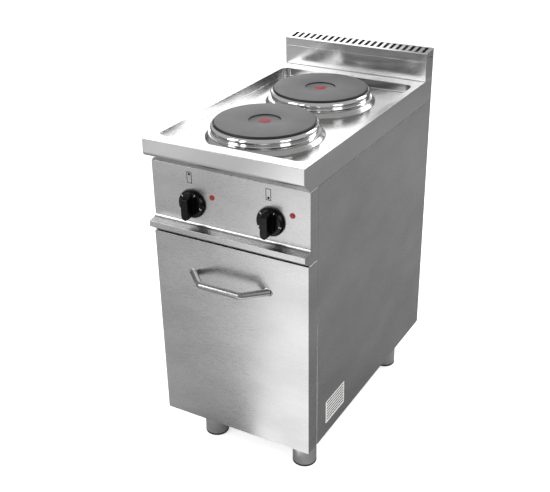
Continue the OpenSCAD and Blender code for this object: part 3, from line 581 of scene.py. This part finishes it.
def makePlate(node, name, middle):
    bm = bmesh.new()
    spin(bm, castingOutline(castingSizes), (middle.x, middle.y, plateTop), castingSizes["steps"])
    finish = castIron("blacked_cast_iron_" + name, ironLook, (middle.x, middle.y, 0))
    addPiece(name, bm, finish, bodyOfNode[node], (node,))


makePlate("front_plate", "hot_plate_front", frontPlate)
makePlate("rear_plate", "hot_plate_rear", rearPlate)

ringSizes = {                                  # mm; drops are from the cooking face down
    "sheet": 0.8, "bulge": 9.0, "bulgeIn": 1.5, "drop": 13.0, "creaseR": 2.2, "creaseOut": 7.0,
    "creaseDrop": 20.4, "foot": 11.0, "footDrop": 24.2, "seatR": 108.5, "seatDrop": 7.0, "steps": 160,
}


def ringOutline(s):
    # Seat under the rim, rolled top, bulge, crease and sloping foot: outside first, then back inside
    r = plateRadius / mm

    def line(t):
        points = [(s["seatR"], -s["seatDrop"] - t), (r + 0.3, -s["seatDrop"] - t)]
        points += arc((r - s["bulgeIn"], -s["drop"]), s["bulge"] - t, 66, -48, 22)
        points += arc((r + s["creaseOut"], -s["creaseDrop"]), s["creaseR"] + t, 176, 248, 6)
        points += [(r + s["foot"] - 1.5, -s["footDrop"] + 0.45 - t),
                   (r + s["foot"], -s["footDrop"] - t * 0.9)]
        return points

    outline = line(0) + line(s["sheet"])[::-1]
    return [(x * mm, z * mm) for x, z in outline]


for node, name, middle in (("front_spill_ring", "spill_ring_front", frontPlate),
                           ("rear_spill_ring", "spill_ring_rear", rearPlate)):
    bm = bmesh.new()
    spin(bm, ringOutline(ringSizes), (middle.x, middle.y, plateTop), ringSizes["steps"])
    addPiece(name, bm, polishedSteel, bodyOfNode[node], (node,))

spotSizes = {"r": 14.5, "thick": 0.3, "round": 0.25, "crown": 0.02, "steps": 64}


def makeSpots(s):
    # A thin crowned dot of enamel in the middle of each recess
    outline = [(0, 0), (s["r"], 0)]
    outline += arc((s["r"] - s["round"], s["thick"] - s["round"]), s["round"], 0, 90, 4)
    outline += [(0, s["thick"] + s["crown"])]
    bm = bmesh.new()
    for middle in (frontPlate, rearPlate):
        spin(bm, [(x * mm, z * mm) for x, z in outline],
             (middle.x, middle.y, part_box("red_spots")[0].z), s["steps"])
    addPiece("enamel_spots", bm, redEnamel, "cabinet", ("red_spots",))


makeSpots(spotSizes)
print("hot plates finished")


def sweep(bm, points, radius, sides):
    # A round bar along a flat path in X and Y
    rings = []
    for i, p in enumerate(points):
        before, after = points[max(i - 1, 0)], points[min(i + 1, len(points) - 1)]
        along = (after - before).normalized()
        side = Vector((along.y, -along.x, 0))
        rings.append([bm.verts.new(p + radius * (side * math.cos(a) + Vector((0, 0, 1)) * math.sin(a)))
                      for a in (2 * math.pi * k / sides for k in range(sides))])
    for one, two in zip(rings, rings[1:]):
        for k in range(sides):
            bm.faces.new((one[k], one[(k + 1) % sides], two[(k + 1) % sides], two[k]))
    bm.faces.new(rings[0])
    bm.faces.new(rings[-1][::-1])


handleSizes = {                                # mm
    "grip": 106, "ends": 195, "reach": 43.5, "bar": 16, "bend": 16, "inDoor": 0.05,
    "weld": ((-0.6, 0.05), (0.6, 0.75), (1.1, 0.45), (1.6, 0.05)),    # out from the bar, height
    "bendSteps": 12, "barSides": 40, "weldSides": 48,
}


def makeHandle(s):
    # A round bar with a level grip and two ends that slope back to the door
    low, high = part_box("door_handle")
    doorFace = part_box("door_skin")[0].y
    z = (low.z + high.z) / 2
    dx, dy = (s["ends"] - s["grip"]) / 2, s["reach"]
    turn = math.atan2(dy, dx)
    trim = s["bend"] * math.tan(turn / 2)
    half = [Vector((0, -dy, 0)), Vector((s["grip"] / 2 - trim, -dy, 0))]
    centre = Vector((s["grip"] / 2 - trim, -dy + s["bend"], 0))
    for i in range(1, s["bendSteps"] + 1):
        a = turn * i / s["bendSteps"]
        half.append(centre + s["bend"] * Vector((math.sin(a), -math.cos(a), 0)))
    slope = Vector((math.cos(turn), math.sin(turn), 0))
    foot = Vector((s["ends"] / 2, 0, 0))
    half += [foot - slope * 6, foot, foot + slope * 4]
    path = [Vector((-p.x, p.y, 0)) for p in half[:0:-1]] + half
    path = [p * mm + Vector((0, doorFace, z)) for p in path]
    bm = bmesh.new()
    sweep(bm, path, s["bar"] / 2 * mm, s["barSides"])
    bmesh.ops.remove_doubles(bm, verts=bm.verts, dist=meshSettings["weld"])
    cut = bmesh.ops.bisect_plane(bm, geom=bm.verts[:] + bm.edges[:] + bm.faces[:],
                                 plane_co=(0, doorFace + s["inDoor"] * mm, 0), plane_no=(0, 1, 0),
                                 clear_outer=True)
    bmesh.ops.holes_fill(bm, edges=[e for e in cut["geom_cut"] if isinstance(e, bmesh.types.BMEdge)])
    # Low weld bead where the bar meets the door's face
    wide, sides = s["bar"] / 2 / math.sin(turn), s["weldSides"]
    for side in (-1, 1):
        mid = Vector((side * s["ends"] / 2 * mm, doorFace, z))
        loops = []
        for r, h in s["weld"]:
            loops.append([bm.verts.new(mid + mm * Vector(((wide + r) * math.cos(a) * side, -h,
                                                          (s["bar"] / 2 + r) * math.sin(a))))
                          for a in (2 * math.pi * k / sides for k in range(sides))])
        for one, two in zip(loops, loops[1:] + loops[:1]):
            for k in range(sides):
                bm.faces.new((one[k], one[(k + 1) % sides], two[(k + 1) % sides], two[k]))
    addPiece("handle_bar", bm, handleSteel, "door", ("door_handle",))


makeHandle(handleSizes)
print("handle finished")


knobSizes = {"gap": 1.5, "skirt": 10}          # mm: between knob and fascia, skirt's depth
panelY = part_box("knob_left")[1].y + knobSizes["gap"] * mm    # front face of the fascia
knobAxes = [midOf("spindle_left"), midOf("spindle_right")]

lampSizes = {"x": 52, "z": 24, "r": 6.5, "steps": 48}    # mm, from the knob's axis


def makeLamps(s):
    # A low domed lens in a thin moulded rim, beside each knob
    r = s["r"]
    dome = [(r - 1.1, 0), (r - 1.1, 0.9)] + arc((r - 2.1, 0.9), 1.0, 0, 60, 4)
    dome += [(3.0, 2.2), (0, 2.45), (0, 0)]
    rim = [(r - 1.05, 0), (r, 0), (r, 0.5), (r - 0.3, 0.9), (r - 0.8, 1.0), (r - 1.05, 0.8)]
    lensMesh, rimMesh = bmesh.new(), bmesh.new()
    for knobAxis in knobAxes:
        place = (knobAxis.x + s["x"] * mm, panelY, knobAxis.z + s["z"] * mm)
        spin(lensMesh, [(x * mm, h * mm) for x, h in dome], place, s["steps"], "Y")
        spin(rimMesh, [(x * mm, h * mm) for x, h in rim], place, s["steps"], "Y")
    addPiece("pilot_lamp_lenses", lensMesh, redLens, "cabinet", ("pilot_lenses",))
    addPiece("pilot_lamp_rims", rimMesh, redLens, "cabinet")


makeLamps(lampSizes)
slabFaces = ((0, 1, 2, 3), (7, 6, 5, 4), (0, 4, 5, 1), (1, 5, 6, 2), (2, 6, 7, 3), (3, 7, 4, 0))


def slab(bm, x0, x1, z0, z1, y, thick):
    # A flat bar that stands out of a face towards the front
    corners = [bm.verts.new((x, y - t, z)) for t in (0, thick)
               for x, z in ((x0, z0), (x1, z0), (x1, z1), (x0, z1))]
    for f in slabFaces:
        bm.faces.new([corners[i] for i in f])


# mm: place of the frame from the knob's axis, its size, and its dot, which stands for one plate
markSizes = {"x": -5.5, "z": 61, "w": 13, "h": 27, "line": 1.5, "thick": 0.08, "dot": 3.0, "dotZ": 8.0}


def makeMarks(sizes):
    # A printed outline of the top over each knob, with a dot for the plate that the knob serves
    s = {k: v * mm for k, v in sizes.items()}
    w, h, line = s["w"] / 2, s["h"] / 2, s["line"]
    bars = ((-w, -w + line, -h, h), (w - line, w, -h, h),
            (-w + line, w - line, -h, -h + line), (-w + line, w - line, h - line, h))
    dot = [(0, 0), (s["dot"], 0), (s["dot"], s["thick"]), (0, s["thick"])]
    bm = bmesh.new()
    for knobAxis, side in zip(knobAxes, (1, -1)):
        x, z = knobAxis.x + s["x"], knobAxis.z + s["z"]
        for x0, x1, z0, z1 in bars:
            slab(bm, x + x0, x + x1, z + z0, z + z1, panelY, s["thick"])
        spin(bm, dot, (x, panelY, z + side * s["dotZ"]), 32, "Y")
    addPiece("plate_position_marks", bm, printInk, "cabinet")


makeMarks(markSizes)
# Degrees from the top for the first digit and between two; mm for the rest
digitSizes = {"first": 28, "step": 72, "r": 27.5, "high": 5.5, "fontRatio": 1.4, "thick": 0.08,
              "digits": "12345"}


def makeDigits(node, name, knobAxis, s):
    # Digits printed round a knob's skirt, in the plain built-in font
    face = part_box(node)[1].y - knobSizes["skirt"] * mm
    bm = bmesh.new()
    for i, digit in enumerate(s["digits"]):
        curve = bpy.data.curves.new(name, "FONT")
        curve.body, curve.size = digit, s["high"] * s["fontRatio"] * mm
        curve.extrude = s["thick"] / 2 * mm
        curve.align_x, curve.align_y, curve.resolution_u = "CENTER", "CENTER", 3
        holder = bpy.data.objects.new(name, curve)
        bpy.context.scene.collection.objects.link(holder)
        flat = bpy.data.meshes.new_from_object(holder)
        a = math.radians(s["first"] + s["step"] * i)
        place = Vector((knobAxis.x + s["r"] * mm * math.sin(a), face - s["thick"] / 2 * mm,
                        knobAxis.z + s["r"] * mm * math.cos(a)))
        flat.transform(Matrix.Translation(place) @ Matrix.Rotation(a, 4, "Y")
                       @ Matrix.Rotation(math.pi / 2, 4, "X"))
        bm.from_mesh(flat)
        bpy.data.objects.remove(holder)
        bpy.data.meshes.remove(flat)
    addPiece(name, bm, whitePrint, bodyOfNode[node])


makeDigits("knob_left", "dial_digits_left", knobAxes[0], digitSizes)
makeDigits("knob_right", "dial_digits_right", knobAxes[1], digitSizes)
print("controls finished")


def startTree(name, inputs):
    # A geometry node tree with named inputs
    tree = bpy.data.node_groups.new(name, "GeometryNodeTree")
    for label, kind in inputs:
        tree.interface.new_socket(label, in_out="INPUT", socket_type=kind)
    tree.interface.new_socket("Geometry", in_out="OUTPUT", socket_type="NodeSocketGeometry")
    return tree, addNode(tree, "NodeGroupInput")


def endTree(tree, source, finish):
    whole = addNode(tree, "GeometryNodeRealizeInstances", links={"Geometry": source})
    painted = addNode(tree, "GeometryNodeSetMaterial",
                      links={"Geometry": whole.outputs[0], "Material": finish})
    addNode(tree, "NodeGroupOutput", links={"Geometry": painted.outputs[0]})


def makeRowTree():
    # One stamp set out along a straight line
    tree, given = startTree("row_of_stamps", [
        ("Stamp", "NodeSocketObject"), ("Count", "NodeSocketInt"), ("Start", "NodeSocketVector"),
        ("Step", "NodeSocketVector"), ("Finish", "NodeSocketMaterial")])
    stamp = addNode(tree, "GeometryNodeObjectInfo", links={"Object": given.outputs["Stamp"]})
    line = addNode(tree, "GeometryNodeMeshLine", {"mode": "OFFSET"},
                   {"Count": given.outputs["Count"], "Start Location": given.outputs["Start"],
                    "Offset": given.outputs["Step"]})
    placed = addNode(tree, "GeometryNodeInstanceOnPoints", links={
        "Points": line.outputs[0], "Instance": stamp.outputs["Geometry"]})
    endTree(tree, placed.outputs[0], given.outputs["Finish"])
    return tree


def makeWheelTree():
    # One stamp turned in equal steps round Z, then stood at its place
    tree, given = startTree("wheel_of_stamps", [
        ("Stamp", "NodeSocketObject"), ("Count", "NodeSocketInt"), ("Turn", "NodeSocketFloat"),
        ("Tilt", "NodeSocketVector"), ("Centre", "NodeSocketVector"), ("Finish", "NodeSocketMaterial")])
    stamp = addNode(tree, "GeometryNodeObjectInfo", links={"Object": given.outputs["Stamp"]})
    dots = addNode(tree, "GeometryNodeMeshLine", {"mode": "OFFSET", "Offset": (0, 0, 0)},
                   {"Count": given.outputs["Count"]})
    index = addNode(tree, "GeometryNodeInputIndex")
    angle = addNode(tree, "ShaderNodeMath", {"operation": "MULTIPLY"},
                    {0: index.outputs[0], 1: given.outputs["Turn"]})
    spinBy = addNode(tree, "ShaderNodeCombineXYZ", links={"Z": angle.outputs[0]})
    placed = addNode(tree, "GeometryNodeInstanceOnPoints", links={
        "Points": dots.outputs[0], "Instance": stamp.outputs["Geometry"], "Rotation": spinBy.outputs[0]})
    stood = addNode(tree, "GeometryNodeTransform", links={
        "Geometry": placed.outputs[0], "Rotation": given.outputs["Tilt"],
        "Translation": given.outputs["Centre"]})
    endTree(tree, stood.outputs[0], given.outputs["Finish"])
    return tree


rowTree, wheelTree = makeRowTree(), makeWheelTree()


def stampObject(bm):
    # A stamp for the trees; repeat() removes it once it has been used
    bmesh.ops.recalc_face_normals(bm, faces=bm.faces)
    mesh = bpy.data.meshes.new("stamp")
    bm.to_mesh(mesh)
    bm.free()
    stamp = bpy.data.objects.new("stamp", mesh)
    bpy.context.scene.collection.objects.link(stamp)
    return stamp


def repeat(name, tree, runs, finish, body, stands=()):
    # Each run is one evaluated copy of the tree; all of them end in one plain mesh
    bm = bmesh.new()
    stamps = set()
    for values in runs:
        holder = bpy.data.objects.new(name, bpy.data.meshes.new(name))
        bpy.context.scene.collection.objects.link(holder)
        modifier = holder.modifiers.new("repeat", "NODES")
        modifier.node_group = tree
        for item in tree.interface.items_tree:
            if item.in_out == "INPUT":
                modifier[item.identifier] = finish if item.name == "Finish" else values[item.name]
        stamps.add(values["Stamp"])
        made = bpy.data.meshes.new_from_object(holder.evaluated_get(bpy.context.evaluated_depsgraph_get()))
        bm.from_mesh(made)
        bpy.data.meshes.remove(made)
        bpy.data.objects.remove(holder)
    for stamp in stamps:
        bpy.data.objects.remove(stamp)
    return addPiece(name, bm, finish, body, stands)


# Pan-head screws with a cross recess, in two columns on the back panel; mm
screwSizes = {"headR": 4.0, "headH": 2.4, "recess": 1.3, "slot": 0.55, "slotLong": 0.62, "shankR": 1.9,
              "shank": 8, "middleDrop": 121.4}


def screwStamp(s):
    # Stands along +Y, with its head outwards and its seat at zero
    bm = bmesh.new()
    dome = [(s["shankR"], 0), (s["headR"], 0), (s["headR"], 0.6)]
    dome += arc((s["headR"] - 1.6, 0.6), 1.6, 0, 80, 5) + [(s["recess"] + 0.9, s["headH"])]
    dome += [(s["recess"], s["headH"] - 1.1), (0, s["headH"] - 1.3)]
    dome += [(0, -s["shank"]), (s["shankR"], -s["shank"])]
    spin(bm, [(r * mm, -h * mm) for r, h in dome], (0, 0, 0), 24, "Y")
    long = s["headR"] * s["slotLong"]
    for w, l in ((s["slot"], long), (long, s["slot"])):
        slab(bm, -w * mm, w * mm, -l * mm, l * mm, (s["headH"] - 0.25) * mm, -0.3 * mm)
    return stampObject(bm)


def makeBackScrews(s):
    low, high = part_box("back_panel_screws")
    seat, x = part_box("back_panel")[1].y, high.x - s["headR"] * mm
    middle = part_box("compartment_floor")[0].z - s["middleDrop"] * mm
    stamp = screwStamp(s)
    runs = [{"Stamp": stamp, "Count": 2, "Start": (-x, seat, z), "Step": (2 * x, 0, 0)}
            for z in (low.z + s["headR"] * mm, middle, high.z - s["headR"] * mm)]
    repeat("back_screws", rowTree, runs, zincPlate, "cabinet", ("back_panel_screws",))


makeBackScrews(screwSizes)
# mm: the rating plate's ruled lines, and the margins round them
ruleSizes = {"count": 7, "thick": 0.1, "high": 3.0, "ends": 5, "top": 4, "bottom": 7}


def makeRules(s):
    # Dark ruled lines, drawn heavier and wider apart than real ones so that they show
    low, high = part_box("rating_plate")
    run, thick, tall = high.y - low.y - 2 * s["ends"] * mm, s["thick"] * mm, s["high"] * mm
    bm = bmesh.new()
    corners = [bm.verts.new((x, y, z)) for x in (0, thick)
               for y, z in ((0, 0), (run, 0), (run, tall), (0, tall))]
    for f in slabFaces:
        bm.faces.new([corners[i] for i in f])
    pitch = (high.z - low.z - (s["top"] + s["bottom"] + s["high"]) * mm) / (s["count"] - 1)
    repeat("rating_plate_rules", rowTree, [{
        "Stamp": stampObject(bm), "Count": s["count"], "Step": (0, 0, pitch),
        "Start": (high.x, low.y + s["ends"] * mm, low.z + s["bottom"] * mm),
    }], printInk, "cabinet")


makeRules(ruleSizes)
# Finger ribs round each levelling foot; mm, heights from the floor
ribSizes = {"count": 36, "r": 30.0, "deep": 0.45, "root": 0.3, "low": 0.9, "high": 4.2, "slope": 0.4,
            "rows": ((-1.1, 0.9985), (-0.5, 1.0), (0.5, 1.0), (1.1, 0.9985)), "sunk": 0.05}


def ribStamp(s):
    # A low rib with a flat crown, whose two sides run down into the disc
    bm = bmesh.new()
    inside, outside = s["r"] - s["root"], s["r"] + s["deep"]
    outline = [(inside, s["low"]), (outside, s["low"] + s["slope"]),
               (outside, s["high"] - s["slope"]), (inside, s["high"])]
    rows = [[bm.verts.new((r * k * mm, t * mm, z * mm)) for r, z in outline] for t, k in s["rows"]]
    for v in rows[0] + rows[-1]:
        v.co.x = min(v.co.x, (s["r"] - s["sunk"]) * mm)
    for one, two in zip(rows, rows[1:]):
        for k in range(4):
            bm.faces.new((one[k], one[(k + 1) % 4], two[(k + 1) % 4], two[k]))
    bm.faces.new(rows[0])
    bm.faces.new(rows[-1][::-1])
    return stampObject(bm)


for corner in ("front_left", "front_right", "rear_left", "rear_right"):
    middle = midOf("foot_" + corner)
    repeat("foot_ribs_" + corner, wheelTree, [{
        "Stamp": ribStamp(ribSizes), "Count": ribSizes["count"], "Turn": 2 * math.pi / ribSizes["count"],
        "Tilt": (0, 0, 0), "Centre": (middle.x, middle.y, 0),
    }], footPlastic, bodyOfNode["foot_" + corner])
print("repeated parts finished")


def addLight(name, s):
    # An area light aimed at a point; its strength is the brightness seen in a mirror
    data = bpy.data.lights.new(name, "AREA")
    data.shape, data.size, data.size_y = "RECTANGLE", s["size"][0], s["size"][1]
    data.energy = s["bright"] * math.pi * s["size"][0] * s["size"][1]
    light = bpy.data.objects.new(name, data)
    bpy.context.scene.collection.objects.link(light)
    if "along" in s:                           # lies on the floor, its length this way, and shines up
        long = Vector((*s["along"], 0)).normalized()
        across = Vector((-long.y, long.x, 0))
        turned = Matrix((across, long, across.cross(long))).transposed().to_4x4()
    else:
        aim = (Vector(s["target"]) - Vector(s["place"])).to_track_quat("-Z", "Y")
        turned = aim.to_matrix().to_4x4()
    light.matrix_world = Matrix.Translation(s["place"]) @ turned
    light.visible_camera = False


lights = {                                     # metres
    "rear_left_box": {"place": (-1.75, 2.3, 2.1), "target": (0, 0, 0.85), "size": (1.7, 1.9),
                      "bright": 2.4},
    "rear_right_box": {"place": (1.5, 2.6, 2.2), "target": (0, 0, 0.85), "size": (1.3, 1.7),
                       "bright": 6.5},
    "front_floor_strip": {"place": (-0.20, -1.42, 0.012), "along": (-0.491, -0.871), "size": (0.66, 2.3),
                          "bright": 1.8},
    "left_floor_strip": {"place": (-0.80, -1.25, 0.010), "along": (-0.6, -0.8), "size": (0.55, 2.0),
                         "bright": 0.3},
    "far_left_strip": {"place": (-1.65, -2.2, 0.010), "along": (-0.6, -0.8), "size": (0.9, 0.8),
                       "bright": 0.95},
    "left_side_strip": {"place": (-1.15, 0.35, 0.010), "along": (-0.6, -0.8), "size": (0.8, 1.0),
                        "bright": 2.6},
    "right_box": {"place": (2.6, -0.9, 1.9), "target": (0.2, 0, 0.5), "size": (1.0, 1.4), "bright": 5.0},
    "front_left_box": {"place": (-1.75, -2.1, 1.8), "target": (0, 0.3, 0.9), "size": (0.9, 2.0),
                       "bright": 6.5},
    "front_box": {"place": (-0.85, -2.9, 1.9), "target": (0, 0.3, 0.9), "size": (0.45, 2.0),
                  "bright": 7.5},
}
for name, s in lights.items():
    addLight(name, s)
print("lights set:", len(lights))

# What the eye sees of floor and sky, and the lower brightness that the steel gets from them
studio = {"floor": "#f6f6f6", "floorInSteel": "#a4a4a4", "glow": 0.55, "rough": 0.95,
          "world": 1.0, "worldInSteel": 0.6, "half": 9, "under": 0.4}    # half in metres, under in mm
white = (1, 1, 1, 1)


def makeStudio(s):
    bm = bmesh.new()
    bmesh.ops.create_grid(bm, x_segments=8, y_segments=8, size=s["half"])
    mesh = bpy.data.meshes.new("floor")
    bm.to_mesh(mesh)
    bm.free()
    floor = bpy.data.objects.new("floor", mesh)
    bpy.context.scene.collection.objects.link(floor)
    floor.location.z = -s["under"] * mm
    # Matt white paper, which lights the steel less than it lights the eye, as a flagged floor does
    paper, tree, shader = startMaterial("matt_white_floor", {
        "Roughness": s["rough"], "Specular IOR Level": 0.0, "Emission Color": white})
    rays = addNode(tree, "ShaderNodeLightPath")
    tone = addNode(tree, "ShaderNodeMix",
                   {"data_type": "RGBA", 6: linear(s["floorInSteel"]), 7: linear(s["floor"])},
                   {0: rays.outputs["Is Camera Ray"]})
    tree.links.new(tone.outputs[2], shader.inputs["Base Color"])
    glow = addNode(tree, "ShaderNodeMath", {"operation": "MULTIPLY", 1: s["glow"]},
                   {0: rays.outputs["Is Camera Ray"]})
    tree.links.new(glow.outputs[0], shader.inputs["Emission Strength"])
    mesh.materials.append(paper)
    world = bpy.data.worlds.new("studio")
    world.use_nodes = True
    tree = world.node_tree
    sky = tree.nodes["Background"]
    sky.inputs["Color"].default_value = white
    rays = addNode(tree, "ShaderNodeLightPath")
    strength = addNode(tree, "ShaderNodeMapRange", {"To Min": s["worldInSteel"], "To Max": s["world"]},
                       {"Value": rays.outputs["Is Camera Ray"]})
    tree.links.new(strength.outputs[0], sky.inputs["Strength"])
    bpy.context.scene.world = world
    bpy.context.scene.view_settings.view_transform = "Standard"


makeStudio(studio)
print("studio set")
